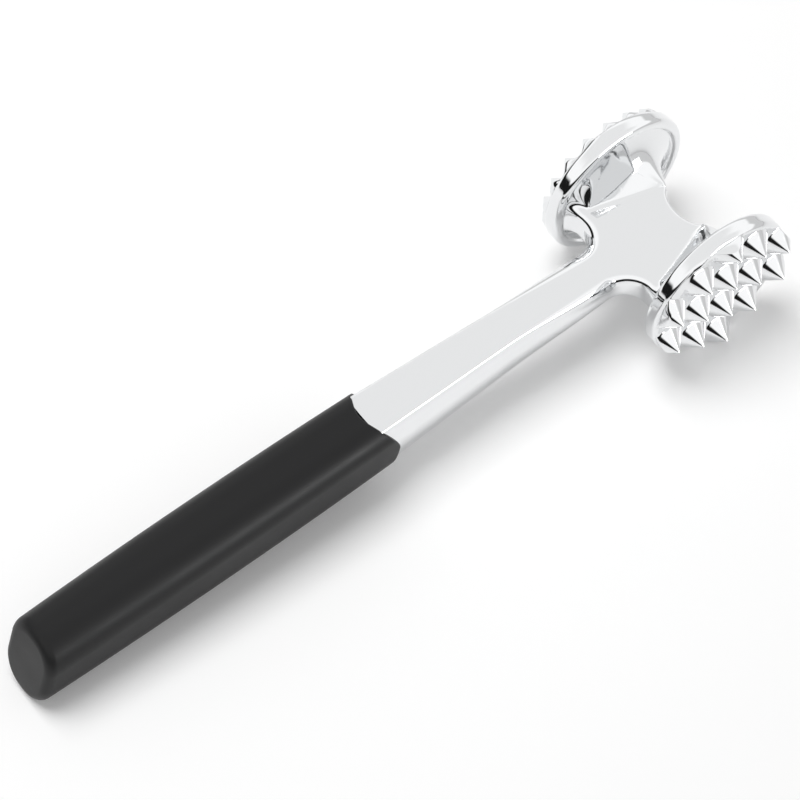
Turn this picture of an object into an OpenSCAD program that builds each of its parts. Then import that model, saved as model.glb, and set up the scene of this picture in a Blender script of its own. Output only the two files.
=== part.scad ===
// Double-faced meat mallet: a chrome-plated casting (striking head, web, shank, tang) and a moulded grip.
// Lies as it rests on a table: both discs and the butt touch z = 0, handle towards -X, coarse face to -Y.

/* [Head] */
// outer radius of both striking discs
disc_r = 24; // [19:0.5:30]
// distance from the middle of the head to the back of a disc's rim
disc_back = 19.5; // [16:0.5:25]
// distance from the middle of the head to a disc's spiked face
disc_face = 24.8; // [21:0.1:31]
// rounding of a disc's outer edges
disc_edge = 1.6; // [0.5:0.1:2.2]
// width of the raised lip round a disc's back
lip_w = 2.6; // [1.5:0.1:4]
// depth of the dished back below that lip
dish_depth = 1.4; // [0.5:0.1:2.2]

/* [Coarse spikes] */
// height of the coarse spikes
coarse_h = 6.2; // [4:0.1:8.5]
// base radius of the coarse spikes
coarse_r = 5.7; // [4:0.1:7]
// spacing of the spikes in a column
coarse_pitch = 14; // [11:0.1:16]
// spacing of the columns
coarse_col = 9.8; // [8:0.1:12]

/* [Fine spikes] */
// height of the fine spikes
fine_h = 3.5; // [2.5:0.1:5]
// base radius of the fine spikes
fine_r = 3.2; // [2:0.1:3.8]
// spacing of the rings of fine spikes
fine_ring = 7.1; // [5.5:0.1:7.6]

// radius of the blunted point of every spike
tip_r = 0.15; // [0.1:0.05:0.4]
// how far inside a disc's edge its outer spikes are trimmed
trim = 0.5; // [0.3:0.1:1]

/* [Web] */
// thickness of the flat web and of the shank's neck
web_t = 12; // [10:0.5:17]
// distance from the middle of the head to the shoulders above the shank
shoulder_x = 17; // [13:0.5:20]
// fillet between shank and shoulders
fillet_r = 9; // [6:0.5:11]
// radius of the hollow in the far end of the web
hollow_r = 12; // [10:0.5:15]
// distance from the middle of the head to the bottom of that hollow
hollow_x = 4.5; // [3:0.1:6]
// half width between the flare's roots at the far end
flare_near = 8; // [6:0.5:10]
// half width between the flare's roots at the shoulders
flare_far = 14.5; // [11:0.5:17]
// radius of the flare where it reaches the dished back
flare_r = 19.5; // [15:0.5:19.5]

/* [Shank] */
// half width of the shank's flat at the neck
neck_hw = 5.6; // [4.5:0.1:7]
// half width of the shank's flat at the grip
shank_hw = 7.2; // [6:0.1:7.2]
// half thickness of the shank at the grip
shank_hh = 9.6; // [7:0.1:9.6]
// how far the shank's sides swell beyond its flats
shank_swell = 1; // [0.5:0.1:1.6]

/* [Grip] */
// distance from the middle of the head to the grip's front
grip_front = 101.5; // [84:0.5:122]
// distance from the middle of the head to the middle of the butt's flat end
butt_x = 217.5; // [180:0.5:265]
// slope of that flat end, which leaves the grip longer underneath
butt_slope = 20; // [10:1:25]
// half width of the grip at its front
grip_hw = 9.5; // [9:0.1:11.4]
// half width of the grip at the butt
butt_hw = 9.6; // [9:0.1:13]
// half height of the grip at its front
grip_hh = 10.8; // [10:0.1:13]
// half height of the grip at the butt
butt_hh = 12; // [9:0.1:13.5]
// rounding of the grip's long edges at its front
front_round = 6.5; // [3:0.1:7.5]
// how far the grip swells at its middle
grip_swell = 0.5; // [0:0.1:1.5]
// rounding of the grip's long edges at the butt
butt_corner = 8.8; // [5:0.1:9]
// rounding between the grip's sides and its flat end
butt_round = 2.8; // [2:0.1:5]
// depth of the scoop in the grip's front edge
scoop = 6.5; // [4:0.1:8]
// width of the blunt tip of each tongue beside that scoop
tongue = 0.4; // [0.2:0.1:0.6]

/* [Joint] */
// width of the tang
tang_w = 9; // [7:0.5:11]
// height of the tang
tang_h = 10; // [8:0.5:11]
// thickness of the grip's wall behind the end of the tang
tang_end = 24.5; // [12:0.5:40]
// depth of the notches that lock the grip to the tang
notch = 1.5; // [1:0.1:2]
// gap between the casting and the front edge of the grip
lip_gap = 0.15; // [0.1:0.05:0.4]

/* [Hidden] */
eps = 0.01;
bed = 1.5;
slice = 0.6;
tang_l = butt_x - grip_front - tang_end;
lever = butt_x - butt_round * cos(butt_slope) + (butt_hh - butt_round) * sin(butt_slope);
drop = butt_round * sin(butt_slope) + (butt_hh - butt_round) * cos(butt_slope);
tilt = asin((disc_r - butt_round) / norm([lever, drop])) - atan(drop / lever);
face_tip = disc_face + coarse_h;
fine_tip = disc_face + fine_h;
tail_x = lever * cos(tilt) - drop * sin(tilt) + butt_round;
centre_x = (tail_x - disc_r) / 2;
centre_y = (face_tip - fine_tip) / 2;
scoop_r = (pow(grip_hw - tongue, 2) + scoop * scoop) / (2 * scoop);
scoop_x = scoop_r - scoop - grip_front;
mid_x = (grip_front + butt_x) / 2;
mid_round = (front_round + butt_corner) / 2;

// Puts the mallet down on its discs and butt, centred on the origin.
module lay_down() {
    translate([centre_x, centre_y, disc_r]) rotate([0, -tilt, 0]) children();
}

// Stands children on the disc that faces s * Y, their +Z along its outward normal.
module on_disc(s) {
    rotate([-90 * s, 0, 0]) children();
}

// A disc: rounded outer edges, a lip round the back and a shallow dish inside the lip.
module disc() {
    rotate_extrude($fn = 128) difference() {
        union() {
            translate([0, disc_back]) square([disc_r - disc_edge, disc_face - disc_back]);
            translate([0, disc_back + disc_edge])
                square([disc_r, disc_face - disc_back - 2 * disc_edge]);
            for (h = [disc_back + disc_edge, disc_face - disc_edge])
                translate([disc_r - disc_edge, h]) circle(disc_edge, $fn = 48);
        }
        polygon([[-eps, disc_back - 1], [disc_r - lip_w + 1, disc_back - 1],
                 [disc_r - lip_w - dish_depth, disc_back + dish_depth],
                 [-eps, disc_back + dish_depth]]);
    }
}

// A spike: a cone with a slightly blunted point that starts just under the face.
module spike(r, h) {
    translate([0, 0, disc_face - bed])
        cylinder(h = h + bed, r1 = r + (r - tip_r) * bed / h, r2 = tip_r, $fn = 48);
}

// Coarse face: five staggered columns, trimmed to the disc.
module coarse_face() {
    intersection() {
        union() for (c = [-2:2]) {
            n = 4 - abs(c);
            for (i = [0:n - 1])
                translate([c * coarse_col, (i - (n - 1) / 2) * coarse_pitch, 0])
                    spike(coarse_r, coarse_h);
        }
        translate([0, 0, disc_back]) cylinder(h = face_tip, r = disc_r - trim, $fn = 128);
    }
}

// Fine face: one spike in the middle and three rings round it, trimmed to the disc.
module fine_face() {
    intersection() {
        union() {
            spike(fine_r, fine_h);
            for (k = [1:3], i = [0:6 * k - 1])
                rotate([0, 0, (i + 0.5) * 60 / k]) translate([k * fine_ring, 0, 0])
                    spike(fine_r, fine_h);
        }
        translate([0, 0, disc_back]) cylinder(h = fine_tip, r = disc_r - trim, $fn = 128);
    }
}

// The flare: spreads from the web's flats to the dished back of the disc that faces s * Y.
module flare(s) {
    hull() {
        on_disc(s) translate([0, 0, disc_back + dish_depth])
            cylinder(h = 1, r = flare_r, $fn = 64);
        for (side = [-1, 1], end = [[hollow_x + 3, flare_near], [1 - shoulder_x, flare_far]])
            translate([end[0] - eps, s * end[1] - eps, side * (web_t / 2 - eps) - eps])
                cube(2 * eps);
    }
}

// Plan of the web: shoulders with fillets at the shank, a hollow at the far end.
module web_plan() {
    root = shoulder_x + fillet_r;
    difference() {
        translate([-root, -disc_back - 2 * dish_depth])
            square([root + hollow_x + hollow_r, 2 * disc_back + 4 * dish_depth]);
        translate([hollow_x + hollow_r, 0]) circle(hollow_r, $fn = 96);
        for (s = [-1, 1]) {
            translate([hollow_x + 3, s > 0 ? flare_near : -flare_near - 2 * disc_back])
                square([2 * hollow_r, 2 * disc_back]);
            translate([-root, s * (neck_hw + fillet_r)]) circle(fillet_r, $fn = 96);
            translate([-root - 1, s > 0 ? neck_hw + fillet_r : -neck_hw - fillet_r - 2 * disc_back])
                square([fillet_r + 1, 2 * disc_back]);
        }
    }
}

// Cross-section of the shank: flat top and bottom, swelling sides.
module shank_section(hw, hh) {
    steps = 8;
    side = [for (i = [-steps:steps]) [hw + shank_swell * cos(90 * i / steps), hh * i / steps]];
    polygon(concat(side, [for (i = [len(side) - 1:-1:0]) [-side[i][0], side[i][1]]]));
}

// The shank, tapering from the grip to the neck, its end rounded to fit the grip's scoop.
module shank() {
    difference() {
        hull() {
            translate([-grip_front - scoop, 0, 0]) rotate([90, 0, 90])
                linear_extrude(eps) shank_section(shank_hw, shank_hh);
            translate([-shoulder_x - fillet_r / 2, 0, 0]) rotate([90, 0, 90])
                linear_extrude(eps) shank_section(neck_hw - shank_swell, web_t / 2);
        }
        translate([0, 0, -2 * shank_hh]) linear_extrude(4 * shank_hh) difference() {
            translate([-grip_front - 2 * scoop, -2 * shank_hw])
                square([scoop_r + scoop, 4 * shank_hw]);
            translate([scoop_x, 0]) circle(scoop_r - lip_gap, $fn = 128);
        }
    }
}

// The tang, with notches on both sides that the grip is moulded into.
module tang() {
    difference() {
        translate([-grip_front - tang_l, -tang_w / 2, -tang_h / 2])
            cube([tang_l + 2 * scoop, tang_w, tang_h]);
        for (s = [-1, 1], k = [1:3])
            translate([-grip_front - tang_l * k / 4, s * tang_w / 2, 0])
                cube([2 * notch, 2 * notch, 2 * tang_h], center = true);
    }
}

// A corner of the grip's end: a round pad whose outer edge is rounded over.
module butt_pad() {
    rotate_extrude($fn = 32) intersection() {
        square(2 * butt_corner);
        hull() {
            translate([butt_corner - butt_round, 0]) circle(butt_round, $fn = 24);
            square([eps, butt_round]);
        }
    }
}

// Outside of the grip: swells towards the butt, front edge scooped top and bottom.
module grip_blank() {
    difference() {
        hull() {
            for (sy = [-1, 1], sz = [-1, 1]) {
                translate([-grip_front, sy * (grip_hw - front_round),
                           sz * (grip_hh - front_round)])
                    rotate([0, -90, 0]) cylinder(h = slice, r = front_round, $fn = 32);
                translate([-mid_x, sy * ((grip_hw + butt_hw) / 2 + grip_swell - mid_round),
                           sz * ((grip_hh + butt_hh) / 2 + grip_swell - mid_round)])
                    rotate([0, 90, 0]) cylinder(h = slice, r = mid_round, $fn = 32);
                translate([-butt_x, 0, 0]) rotate([0, butt_slope, 0])
                    translate([butt_round, sy * (butt_hw - butt_corner),
                               sz * (butt_hh - butt_corner)])
                        rotate([0, -90, 0]) butt_pad();
            }
        }
        translate([scoop_x, 0, -2 * grip_hh]) cylinder(h = 4 * grip_hh, r = scoop_r, $fn = 128);
    }
}

// Casting: head, web, shank and tang in one piece.
module casting() {
    color("silver") lay_down() {
        for (s = [-1, 1]) {
            on_disc(s) disc();
            flare(s);
        }
        on_disc(-1) coarse_face();
        on_disc(1) fine_face();
        translate([0, 0, -web_t / 2]) linear_extrude(web_t) web_plan();
        shank();
        tang();
    }
}

// Grip: moulded sleeve that fills the tang's notches.
module grip() {
    color("dimgray") lay_down() difference() {
        grip_blank();
        tang();
    }
}

casting();
grip();
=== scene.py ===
"""Double-faced meat mallet: chrome-plated die casting with two spiked striking discs, black moulded grip."""

import math

import bpy
import numpy as np
from mathutils import Matrix, Vector


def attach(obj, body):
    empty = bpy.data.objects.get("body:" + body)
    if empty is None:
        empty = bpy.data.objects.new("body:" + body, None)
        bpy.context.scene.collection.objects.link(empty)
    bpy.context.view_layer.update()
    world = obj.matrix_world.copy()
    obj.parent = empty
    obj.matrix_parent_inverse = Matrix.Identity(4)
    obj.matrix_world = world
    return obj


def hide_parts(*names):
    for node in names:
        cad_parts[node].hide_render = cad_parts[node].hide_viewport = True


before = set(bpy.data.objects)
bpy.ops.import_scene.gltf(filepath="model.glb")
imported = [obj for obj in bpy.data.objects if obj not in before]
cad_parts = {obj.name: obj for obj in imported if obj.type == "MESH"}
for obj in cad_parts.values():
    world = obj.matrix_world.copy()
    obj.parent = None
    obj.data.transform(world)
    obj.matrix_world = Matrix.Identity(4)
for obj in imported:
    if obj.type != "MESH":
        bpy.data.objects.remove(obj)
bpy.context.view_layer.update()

# ---------------------------------------------------------------- sizes, in millimetres
# The mallet's own frame: middle of the head at the origin, handle towards -X, coarse face -Y.
DISC_R, DISC_BACK, DISC_FACE, DISC_EDGE = 24.0, 19.5, 24.8, 1.6
LIP_W, DISH_DEPTH = 2.6, 1.4
COARSE_H, COARSE_R, COARSE_PITCH, COARSE_COL = 6.2, 5.7, 14.0, 9.8
FINE_H, FINE_R, FINE_RING = 3.5, 3.2, 7.1
TRIM_R = DISC_R - 0.5
WEB_T, SHOULDER_X, FILLET_R = 12.0, 17.0, 9.0
HOLLOW_R, HOLLOW_X = 12.0, 4.5
FLARE_NEAR, FLARE_FAR, FLARE_R, FLARE_SINK = 8.0, 14.5, 17.5, 0.9
NECK_HW, SHANK_HW, SHANK_HH, SHANK_SWELL = 5.6, 7.2, 9.6, 1.0
GRIP_FRONT, BUTT_X, SCOOP, BUTT_SLOPE = 101.5, 217.5, 6.5, math.radians(20)
GRIP_HW, BUTT_HW, GRIP_HH, BUTT_HH = 9.5, 9.6, 10.8, 12.0
FRONT_ROUND, GRIP_SWELL, BUTT_CORNER, BUTT_ROUND = 6.5, 0.5, 8.8, 2.8

LEVER = BUTT_X - BUTT_ROUND * math.cos(BUTT_SLOPE) + (BUTT_HH - BUTT_ROUND) * math.sin(BUTT_SLOPE)
DROP = BUTT_ROUND * math.sin(BUTT_SLOPE) + (BUTT_HH - BUTT_ROUND) * math.cos(BUTT_SLOPE)
TILT = math.asin((DISC_R - BUTT_ROUND) / math.hypot(LEVER, DROP)) - math.atan(DROP / LEVER)
TAIL_X = LEVER * math.cos(TILT) - DROP * math.sin(TILT) + BUTT_ROUND
CENTRE_X = (TAIL_X - DISC_R) / 2
CENTRE_Y = (COARSE_H - FINE_H) / 2


def lay_down(points):
    """Own frame in mm to the resting place in metres: a turn about Y that lowers the butt, then a lift by the disc radius."""
    x, y, z = points[..., 0], points[..., 1], points[..., 2]
    c, s = math.cos(TILT), math.sin(TILT)
    return np.stack([x * c - z * s + CENTRE_X, y + CENTRE_Y, x * s + z * c + DISC_R], -1) / 1000


# ---------------------------------------------------------------- distance formulas
def soft_union(a, b, k):
    """Smaller of two distances, with a quadratic blend where they differ by less than k."""
    h = np.clip(0.5 + 0.5 * (b - a) / k, 0, 1)
    return b + (a - b) * h - k * h * (1 - h)


def soft_cut(a, b, k):
    """Larger of two distances, blended in the same way."""
    return -soft_union(-a, -b, k)


def filleted_union(a, b, r):
    """Union whose inner corner is a true arc of radius r."""
    return np.maximum(r, np.minimum(a, b)) - np.hypot(np.maximum(r - a, 0), np.maximum(r - b, 0))


def rounded_cut(a, b, r):
    """Intersection whose outer corner is a true arc of radius r."""
    return np.minimum(-r, np.maximum(a, b)) + np.hypot(np.maximum(r + a, 0), np.maximum(r + b, 0))


def ease(t):
    """Smooth step from 0 to 1 while t goes from 0 to 1."""
    t = np.clip(t, 0, 1)
    return t * t * (3 - 2 * t)


def disc_distance(p):
    """Both discs at once, since they mirror: a rounded rectangle turned about Y, minus a dish whose floor drops inside the lip."""
    r, h = np.hypot(p[..., 0], p[..., 2]), np.abs(p[..., 1])
    half = (DISC_FACE - DISC_BACK) / 2
    qr, qh = r - (DISC_R - DISC_EDGE), np.abs(h - DISC_BACK - half) - (half - DISC_EDGE)
    block = np.hypot(np.maximum(qr, 0), np.maximum(qh, 0)) + np.minimum(np.maximum(qr, qh), 0) - DISC_EDGE
    floor = DISC_BACK - 0.6 + (DISH_DEPTH + 0.6) * ease((DISC_R - LIP_W - r) / 1.5 + 0.35)
    return soft_cut(block, (floor - h) * 0.72, 0.5)


def flare_planes(count):
    """Planes that touch the flare's circle at evenly spaced angles and its roots on the web: their normals and offsets."""
    angle = np.arange(count) * 2 * math.pi / count
    c, s = np.cos(angle), np.sin(angle)
    top = DISC_BACK + DISH_DEPTH
    roots = [(HOLLOW_X + 3, FLARE_NEAR, WEB_T / 2), (HOLLOW_X + 3, FLARE_NEAR, -WEB_T / 2),
             (1 - SHOULDER_X, FLARE_FAR, WEB_T / 2), (1 - SHOULDER_X, FLARE_FAR, -WEB_T / 2)]
    rise = np.max([(c * x + s * z - FLARE_R) / (top - y) for x, y, z in roots], axis=0)
    size = np.sqrt(1 + rise * rise)
    return np.stack([c / size, rise / size, s / size], 1), (FLARE_R + top * rise) / size


def flare_distance(p, planes):
    """Largest signed distance to the flare's planes, with the peak between planes filled in by a parabola;
    between web and disc the surface sinks by a second parabola, as a trumpet's bell does."""
    normals, offsets = planes
    q = np.stack([p[..., 0], np.abs(p[..., 1]), p[..., 2]], -1).reshape(-1, 3)
    best = np.empty(len(q))
    for start in range(0, len(q), 40000):
        part = q[start:start + 40000] @ normals.T - offsets
        k = part.argmax(1)
        row = np.arange(len(k))
        mid, left, right = part[row, k], part[row, k - 1], part[row, (k + 1) % len(offsets)]
        bend = np.maximum(2 * mid - left - right, 1e-6)
        best[start:start + 40000] = mid + np.minimum((right - left) ** 2 / (8 * bend), 0.05)
    h = np.abs(p[..., 1])
    t = np.clip((h - 9) / (DISC_BACK + DISH_DEPTH - 9), 0, 1)
    hollow = best.reshape(p.shape[:-1]) + FLARE_SINK * 4 * t * (1 - t)
    return np.maximum(hollow, h - DISC_BACK - 3)


def body_distance(p):
    """Web and shank: a plan outline met by a thickness that grows towards the grip, with rounded edges."""
    x, y, z = p[..., 0], np.abs(p[..., 1]), p[..., 2]
    root = SHOULDER_X + FILLET_R / 2
    along = np.clip((-root - x) / (GRIP_FRONT + SCOOP - root), 0, 1.2)
    soft = np.sqrt(along * along + 0.0016) - 0.04 * (1 - np.clip(along, 0, 1))
    thick = WEB_T / 2 + (SHANK_HH - WEB_T / 2) * soft
    waist = NECK_HW - SHANK_SWELL + (SHANK_HW - NECK_HW + SHANK_SWELL) * along
    side = y - waist - (SHANK_SWELL + 0.7 * along) * np.cos(math.pi / 2 * np.clip(z / thick, -1, 1))
    shank = np.maximum(np.maximum(side, x + 8), -GRIP_FRONT - 6 - x)
    web = np.maximum(-SHOULDER_X - x, x - HOLLOW_X - 3)
    plan = filleted_union(shank, np.maximum(web, y - DISC_BACK - 2.5), FILLET_R)
    plan = rounded_cut(plan, HOLLOW_R - np.hypot(x - HOLLOW_X - HOLLOW_R, y), 0.6)
    near_neck = ease((x + 62) / 36) * (1 - ease((x + 13) / 13))
    edge = 0.45 + 0.7 * ease((x + 80) / 60) + 2.5 * near_neck
    return rounded_cut(plan - 1.4 * near_neck, np.abs(z) - thick, edge)


def casting_distance(p, planes):
    """The whole casting: web and shank, flares and dished discs, blended as a mould's fillets blend them."""
    solid = body_distance(p)
    head = p[..., 0] > -34
    q = p[head]
    flared = soft_union(solid[head], flare_distance(q, planes), 0.7)
    solid[head] = filleted_union(flared, disc_distance(q), 4.5)
    return solid


# ---------------------------------------------------------------- meshes
def finish_mesh(name, points, quads, normals=None):
    """Mesh object at the origin from points in the own frame and faces; smooth, with exact normals where given."""
    mesh = bpy.data.meshes.new(name)
    mesh.from_pydata(lay_down(points), [], quads)
    mesh.validate()
    mesh.polygons.foreach_set("use_smooth", np.ones(len(mesh.polygons), bool))
    if normals is not None:
        turned = lay_down(normals) - lay_down(np.zeros(3))
        mesh.normals_split_custom_set_from_vertices(turned / np.linalg.norm(turned, axis=1)[:, None])
    mesh.update()
    piece = bpy.data.objects.new(name, mesh)
    bpy.context.scene.collection.objects.link(piece)
    return piece


def wrap_surface(distance, fine_distance, low, high, step):
    """Skin of a distance formula: one vertex in every cell that the surface crosses, quads across its crossed edges, then every
    vertex moved along the gradient onto the surface. Returns points, quads and unit normals."""
    axes = [np.arange(a, b + step, step) for a, b in zip(low, high)]
    value = np.empty([len(a) for a in axes])
    for i in range(0, len(axes[0]), 16):
        block = np.stack(np.meshgrid(axes[0][i:i + 16], axes[1], axes[2], indexing="ij"), -1)
        value[i:i + 16] = distance(block)
    inside = value < 0
    shape = np.array(inside.shape) - 1
    offs = np.array([(i, j, k) for i in (0, 1) for j in (0, 1) for k in (0, 1)])
    count = sum(inside[o[0]:o[0] + shape[0], o[1]:o[1] + shape[1], o[2]:o[2] + shape[2]].astype(np.int8)
                for o in offs)
    cells = np.argwhere((count > 0) & (count < 8))
    number = np.full(shape, -1)
    number[tuple(cells.T)] = np.arange(len(cells))
    corner = value[tuple((cells[:, None, :] + offs).transpose(2, 0, 1))]
    ends = [(a, b) for a in range(8) for b in range(a + 1, 8) if np.abs(offs[a] - offs[b]).sum() == 1]
    a, b = corner[:, [e[0] for e in ends]], corner[:, [e[1] for e in ends]]
    crossed = (a < 0) != (b < 0)
    t = np.where(crossed, a / np.where(crossed, a - b, 1), 0)[..., None]
    first, second = offs[[e[0] for e in ends]], offs[[e[1] for e in ends]]
    spot = ((first + t * (second - first)) * crossed[..., None]).sum(1) / crossed.sum(1)[:, None]
    points = np.array(low) + (cells + spot) * step

    quads = []
    for d in range(3):
        u, v = (d + 1) % 3, (d + 2) % 3
        here = [slice(None)] * 3
        there = [slice(None)] * 3
        here[d], there[d] = slice(0, -1), slice(1, None)
        edges = np.argwhere(inside[tuple(here)] != inside[tuple(there)])
        ring = []
        for du, dv in ((1, 1), (0, 1), (0, 0), (1, 0)):
            cell = edges.copy()
            cell[:, u] -= du
            cell[:, v] -= dv
            ring.append(number[tuple(cell.T)])
        quad = np.stack(ring, 1)
        out = inside[tuple(edges.T)]
        quad[~out] = quad[~out][:, ::-1]
        quads.append(quad)

    def gradient(at, gap=0.04):
        shift = np.eye(3) * gap
        return np.stack([fine_distance(at + s) - fine_distance(at - s) for s in shift], -1) / (2 * gap)

    for _ in range(3):
        slope = gradient(points)
        move = fine_distance(points) / np.maximum((slope ** 2).sum(-1), 0.2)
        points = points - np.clip(move, -step / 2, step / 2)[:, None] * slope
    slope = gradient(points, 0.22)
    return points, np.concatenate(quads), slope / np.linalg.norm(slope, axis=1)[:, None]


def skin(rows):
    """Closed skin over rings of equal length, with one middle point closing each end. Returns points and faces."""
    count, length = rows.shape[:2]
    points = np.concatenate([rows.reshape(-1, 3), [rows[0].mean(0), rows[-1].mean(0)]])
    ring = np.arange(count * length).reshape(count, length)
    after = np.roll(ring, -1, axis=1)
    sides = np.stack([ring[:-1], after[:-1], after[1:], ring[1:]], -1).reshape(-1, 4).tolist()
    first = np.stack([np.full(length, count * length), after[0], ring[0]], 1).tolist()
    last = np.stack([np.full(length, count * length + 1), ring[-1], after[-1]], 1).tolist()
    return points, sides + first + last


def spiked_face(name, side, centres, height, radius, rings, spokes):
    """A striking face as a height over polar rings: the tallest of all cones, with a small fillet at each foot, ending in the
    disc's rounded edge, and a wall down into the disc at the trimming radius."""
    r = np.linspace(TRIM_R / rings, TRIM_R, rings)[:, None]
    angle = np.arange(spokes)[None, :] * 2 * math.pi / spokes
    u, v = r * np.cos(angle), r * np.sin(angle)
    past = np.maximum(r - (DISC_R - DISC_EDGE), 0)
    base = 0.05 - (DISC_EDGE - np.sqrt(DISC_EDGE ** 2 - past ** 2)) + 0 * angle
    away = np.min([np.hypot(u - a, v - b) for a, b in centres], axis=0)
    cone = height - (np.sqrt(away ** 2 + 0.01) - 0.1) * height / radius
    top = soft_cut(base, cone, 0.55)
    wall = [(TRIM_R, base[-1] - 0.5), (TRIM_R - 1.5, base[-1] - 1.2), (TRIM_R / 2, base[-1] - 1.2)]
    u = np.concatenate([u] + [w * np.cos(angle) for w, _ in wall])
    v = np.concatenate([v] + [w * np.sin(angle) for w, _ in wall])
    rise = np.concatenate([top] + [h[None, :] for _, h in wall])
    rows = np.stack([u, side * (DISC_FACE + rise), v], -1)
    points, faces = skin(rows if side > 0 else rows[:, ::-1])
    return finish_mesh(name, points, faces)


def rounded_section(half_w, half_h, corner, per_side, per_corner):
    """A rounded rectangle as points in order: four straight sides joined by four quarter circles; sizes may be columns."""
    ys, zs = [], []
    for turn, (sy, sz) in enumerate(((1, 1), (-1, 1), (-1, -1), (1, -1))):
        arc = (turn + (np.arange(per_corner) + 0.5) / per_corner) * math.pi / 2
        ys.append(sy * (half_w - corner) + corner * np.cos(arc))
        zs.append(sz * (half_h - corner) + corner * np.sin(arc))
        run = (np.arange(per_side) + 0.5) / per_side
        if turn % 2 == 0:
            ys.append(sy * (half_w - corner) * (1 - 2 * run))
            zs.append(sz * half_h + 0 * run)
        else:
            ys.append(sy * half_w + 0 * run)
            zs.append(sz * (half_h - corner) * (1 - 2 * run))
    return np.concatenate(ys, -1), np.concatenate(zs, -1)


def grip_mesh(name):
    """The grip: a rounded section carried along X from the scooped front lip to the rounded butt. Rows come as distance behind
    the front and inset from the outside; the front rows also follow the scoop, one cosine wave from the middle of the top,
    where it is deepest, to the tongue on each side, and the rows at the butt lean forwards with
    height to make the sloping end."""
    rows = [(3.0, 2.8), (0.8, 2.2), (0.1, 1.9), (0.0, 1.2), (0.0, 0.6), (0.04, 0.38), (0.14, 0.18), (0.3, 0.05), (0.5, 0.0)]
    length = BUTT_X - GRIP_FRONT
    rows += [(s, 0.0) for s in np.linspace(1.0, length - BUTT_ROUND, 140)]
    arc = np.linspace(0, math.pi / 2, 20)[1:]
    rows += [(length - BUTT_ROUND * (1 - math.sin(a)), BUTT_ROUND * (1 - math.cos(a)) * 0.985) for a in arc]
    s, inset = np.array(rows).T[:, :, None]
    t = np.clip(s / (length - BUTT_ROUND), 0, 1)
    swell = GRIP_SWELL * 4 * t * (1 - t)
    half_w = GRIP_HW + (BUTT_HW - GRIP_HW) * t + swell - inset
    half_h = GRIP_HH + (BUTT_HH - GRIP_HH) * t + swell - inset
    corner = np.maximum(FRONT_ROUND + (BUTT_CORNER - FRONT_ROUND) * t - inset, 0.05)
    y, z = rounded_section(half_w, half_h, corner, 26, 18)
    around = np.arctan2(np.abs(y) * GRIP_HH, np.abs(z) * GRIP_HW)
    depth = SCOOP * ((1 + np.cos(2 * around)) / 2) ** 0.8
    x = -GRIP_FRONT - s - depth * (1 - ease(s / 30)) + z * math.tan(BUTT_SLOPE) * ease((s - length) / 45 + 1)
    rows = np.stack([x, y, z], -1)
    inner = rows[-1] + (rows[-1].mean(0) - rows[-1]) * 0.5
    points, faces = skin(np.concatenate([rows, inner[None]]))
    return finish_mesh(name, points, faces)


# ---------------------------------------------------------------- materials
def shade(hex_code):
    """sRGB hex to a linear colour with alpha."""
    c = np.array([int(hex_code[i:i + 2], 16) for i in (0, 2, 4)]) / 255
    return (*np.where(c <= 0.04045, c / 12.92, ((c + 0.055) / 1.055) ** 2.4), 1.0)


def add(tree, kind, settings=None, **inputs):
    """Adds a node; settings are its properties, inputs its sockets by name (spaces as _) or number, as values or links."""
    node = tree.nodes.new(kind)
    for key, value in (settings or {}).items():
        setattr(node, key, value)
    for key, value in inputs.items():
        socket = node.inputs[int(key[1:])] if key[1:].isdigit() else node.inputs[key.replace("_", " ")]
        if isinstance(value, bpy.types.NodeSocket):
            tree.links.new(value, socket)
        else:
            socket.default_value = value
    return node


def new_material(name):
    material = bpy.data.materials.new(name)
    material.use_nodes = True
    material.node_tree.nodes.clear()
    return material, material.node_tree


def chrome_plate():
    """Bright chrome plate on a polished die casting: a near mirror with a faint waviness left by polishing and thin haze."""
    material, t = new_material("chrome_plate")
    place = add(t, "ShaderNodeTexCoord").outputs["Object"]
    haze = add(t, "ShaderNodeTexNoise", Vector=place, Scale=260.0, Detail=3.0, Roughness=0.6).outputs["Fac"]
    rough = add(t, "ShaderNodeMapRange", i0=haze, i1=0.3, i2=0.75, i3=0.045, i4=0.085).outputs[0]
    waves = add(t, "ShaderNodeTexNoise", Vector=place, Scale=95.0, Detail=1.0).outputs["Fac"]
    bump = add(t, "ShaderNodeBump", Height=waves, Strength=0.25, Distance=0.00003).outputs["Normal"]
    shader = add(t, "ShaderNodeBsdfPrincipled", Metallic=1.0, Base_Color=shade("e9eaeb"), Roughness=rough, Normal=bump)
    add(t, "ShaderNodeOutputMaterial", Surface=shader.outputs[0])
    return material


def moulded_grip():
    """Black moulded thermoplastic with a fine spark-eroded grain, slightly worn smooth, which gives a soft broad sheen."""
    material, t = new_material("moulded_black_grip")
    place = add(t, "ShaderNodeTexCoord").outputs["Object"]
    grain = add(t, "ShaderNodeTexNoise", Vector=place, Scale=2400.0, Detail=2.0).outputs["Fac"]
    worn = add(t, "ShaderNodeTexNoise", Vector=place, Scale=70.0, Detail=3.0).outputs["Fac"]
    tone = add(t, "ShaderNodeMix", {"data_type": "RGBA"}, i0=worn, i6=shade("101011"), i7=shade("141415")).outputs[2]
    rough = add(t, "ShaderNodeMapRange", i0=worn, i1=0.3, i2=0.7, i3=0.38, i4=0.46).outputs[0]
    bump = add(t, "ShaderNodeBump", Height=grain, Strength=0.35, Distance=0.00008).outputs["Normal"]
    shader = add(t, "ShaderNodeBsdfPrincipled", Base_Color=tone, Roughness=rough, Normal=bump,
                 Specular_IOR_Level=0.3)
    add(t, "ShaderNodeOutputMaterial", Surface=shader.outputs[0])
    return material


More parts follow.
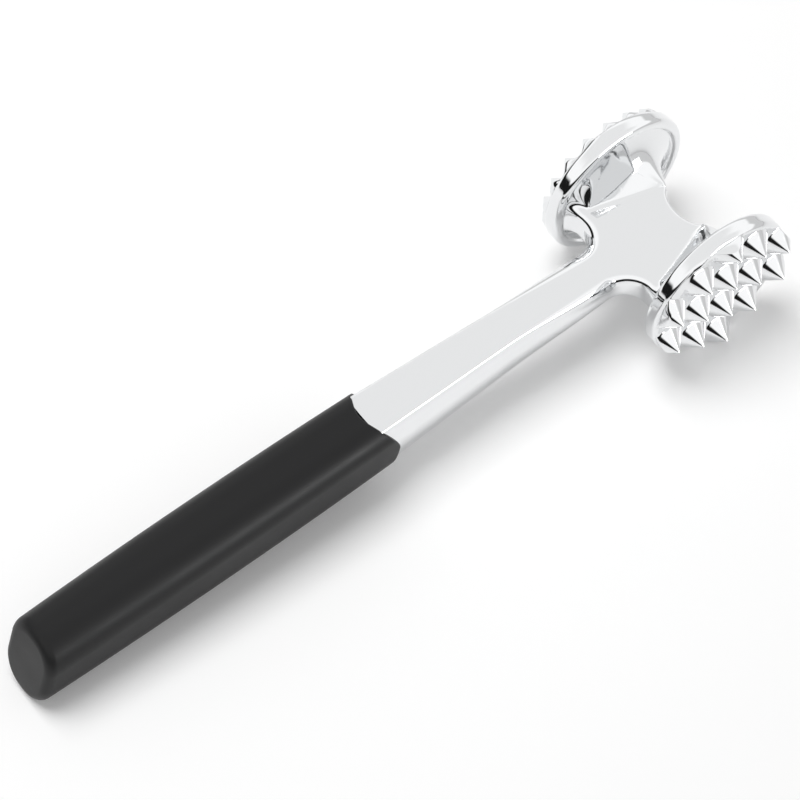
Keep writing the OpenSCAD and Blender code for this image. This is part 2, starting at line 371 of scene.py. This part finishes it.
def table_top():
    """Matt white table: plain diffuse, lifted to paper white for what looks straight at it or sees it mirrored."""
    material, t = new_material("table_top")
    path = add(t, "ShaderNodeLightPath").outputs
    seen = add(t, "ShaderNodeMath", {"operation": "MAXIMUM"}, i0=path["Is Camera Ray"], i1=path["Is Glossy Ray"]).outputs[0]
    lift = add(t, "ShaderNodeMath", {"operation": "MULTIPLY"}, i0=seen, i1=0.13).outputs[0]
    shader = add(t, "ShaderNodeBsdfPrincipled", Base_Color=shade("f2f2f2"), Roughness=0.9, Specular_IOR_Level=0.0,
                 Emission_Color=(1, 1, 1, 1), Emission_Strength=lift)
    add(t, "ShaderNodeOutputMaterial", Surface=shader.outputs[0])
    return material


def studio_world():
    """A light tent over the table: white to the camera; for light and reflections a dark gap at the horizon that fades to
    grey towards the head's end, a bright wall above it and a slightly dimmer roof."""
    world = bpy.data.worlds.new("light_tent")
    world.use_nodes = True
    t = world.node_tree
    t.nodes.clear()
    way = add(t, "ShaderNodeSeparateXYZ", Vector=add(t, "ShaderNodeTexCoord").outputs["Generated"]).outputs
    smooth = {"interpolation_type": "SMOOTHSTEP"}
    gap = add(t, "ShaderNodeMapRange", smooth, i0=way["X"], i1=-0.15, i2=0.4, i3=0.012, i4=0.7).outputs[0]
    roof = add(t, "ShaderNodeMapRange", smooth, i0=way["Z"], i1=0.6, i2=0.8, i3=1.15, i4=0.96).outputs[0]
    above = add(t, "ShaderNodeMapRange", smooth, i0=way["Z"], i1=0.24, i2=0.34, i3=0.0, i4=1.0).outputs[0]
    tent = add(t, "ShaderNodeMix", i0=above, i2=gap, i3=roof).outputs[0]
    path = add(t, "ShaderNodeLightPath").outputs
    level = add(t, "ShaderNodeMapRange", i0=path["Is Glossy Ray"], i1=0.0, i2=1.0, i3=0.42, i4=1.0).outputs[0]
    light = add(t, "ShaderNodeMath", {"operation": "MULTIPLY"}, i0=tent, i1=level).outputs[0]
    colour = add(t, "ShaderNodeMix", i0=path["Is Camera Ray"], i2=light, i3=1.0).outputs[0]
    back = add(t, "ShaderNodeBackground", Color=colour, Strength=1.0)
    add(t, "ShaderNodeOutputWorld", Surface=back.outputs[0])
    bpy.context.scene.world = world


def soft_box(name, place, width, height, watts, lights, mirrored):
    """A rectangular lamp that faces the mallet; it may light matt surfaces, be mirrored in gloss, or both."""
    lamp = bpy.data.lights.new(name, "AREA")
    lamp.shape, lamp.size, lamp.size_y, lamp.energy = "RECTANGLE", width, height, watts
    box = bpy.data.objects.new(name, lamp)
    box.location = place
    box.visible_diffuse, box.visible_glossy = lights, mirrored
    box.rotation_euler = Vector(place).to_track_quat("Z", "Y").to_euler()
    bpy.context.scene.collection.objects.link(box)


# ---------------------------------------------------------------- the mallet
planes = flare_planes(240)
points, quads, normals = wrap_surface(
    lambda p: casting_distance(p, planes), lambda p: casting_distance(p, planes),
    (-113.0, -26.0, -25.0), (26.0, 26.0, 25.0), 0.5)
casting = finish_mesh("casting_body", points, quads.tolist(), normals)

coarse_spots = [(c * COARSE_COL, (i - (3 - abs(c)) / 2) * COARSE_PITCH)
                for c in range(-2, 3) for i in range(4 - abs(c))]
fine_spots = [(0.0, 0.0)] + [(k * FINE_RING * math.cos((i + 0.5) * math.pi / 3 / k),
                              -k * FINE_RING * math.sin((i + 0.5) * math.pi / 3 / k))
                             for k in (1, 2, 3) for i in range(6 * k)]
coarse = spiked_face("coarse_face", -1, coarse_spots, COARSE_H, COARSE_R, 150, 560)
fine = spiked_face("fine_face", 1, fine_spots, FINE_H, FINE_R, 150, 560)
grip = grip_mesh("grip_sleeve")

chrome, black = chrome_plate(), moulded_grip()
for piece, material, slot, node in ((casting, chrome, "chrome", "casting"), (coarse, chrome, "chrome", "casting"),
                                    (fine, chrome, "chrome", "casting"), (grip, black, "grip_black", "grip")):
    piece.data.materials.append(material)
    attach(piece, "root")
    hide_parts(node)

# ---------------------------------------------------------------- table, light and camera
sheet = bpy.data.meshes.new("table")
sheet.from_pydata([(-3, -3, 0), (3, -3, 0), (3, 3, 0), (-3, 3, 0)], [], [(0, 1, 2, 3)])
table = bpy.data.objects.new("table", sheet)
bpy.context.scene.collection.objects.link(table)
table.data.materials.append(table_top())

studio_world()
soft_box("key_box", (-0.10, 0.36, 1.20), 0.7, 0.7, 10.5, True, False)
soft_box("side_box", (0.50, -1.35, 0.40), 0.9, 0.36, 9.0, False, True)

lens = bpy.data.cameras.new("camera")
lens.lens, lens.sensor_width, lens.clip_start = 112.97962, 36, 0.05
camera = bpy.data.objects.new("camera", lens)
bpy.context.scene.collection.objects.link(camera)
camera.matrix_world = Matrix((
    (0.79307220, 0.510666, -0.33204855, -0.22418782),
    (-0.60875749, 0.683474, -0.40283597, -0.27470171),
    (0.02123192, 0.521615, 0.85291673, 0.60843657),
    (0, 0, 0, 1)))
bpy.context.scene.camera = camera
bpy.context.scene.view_settings.view_transform = "Standard"
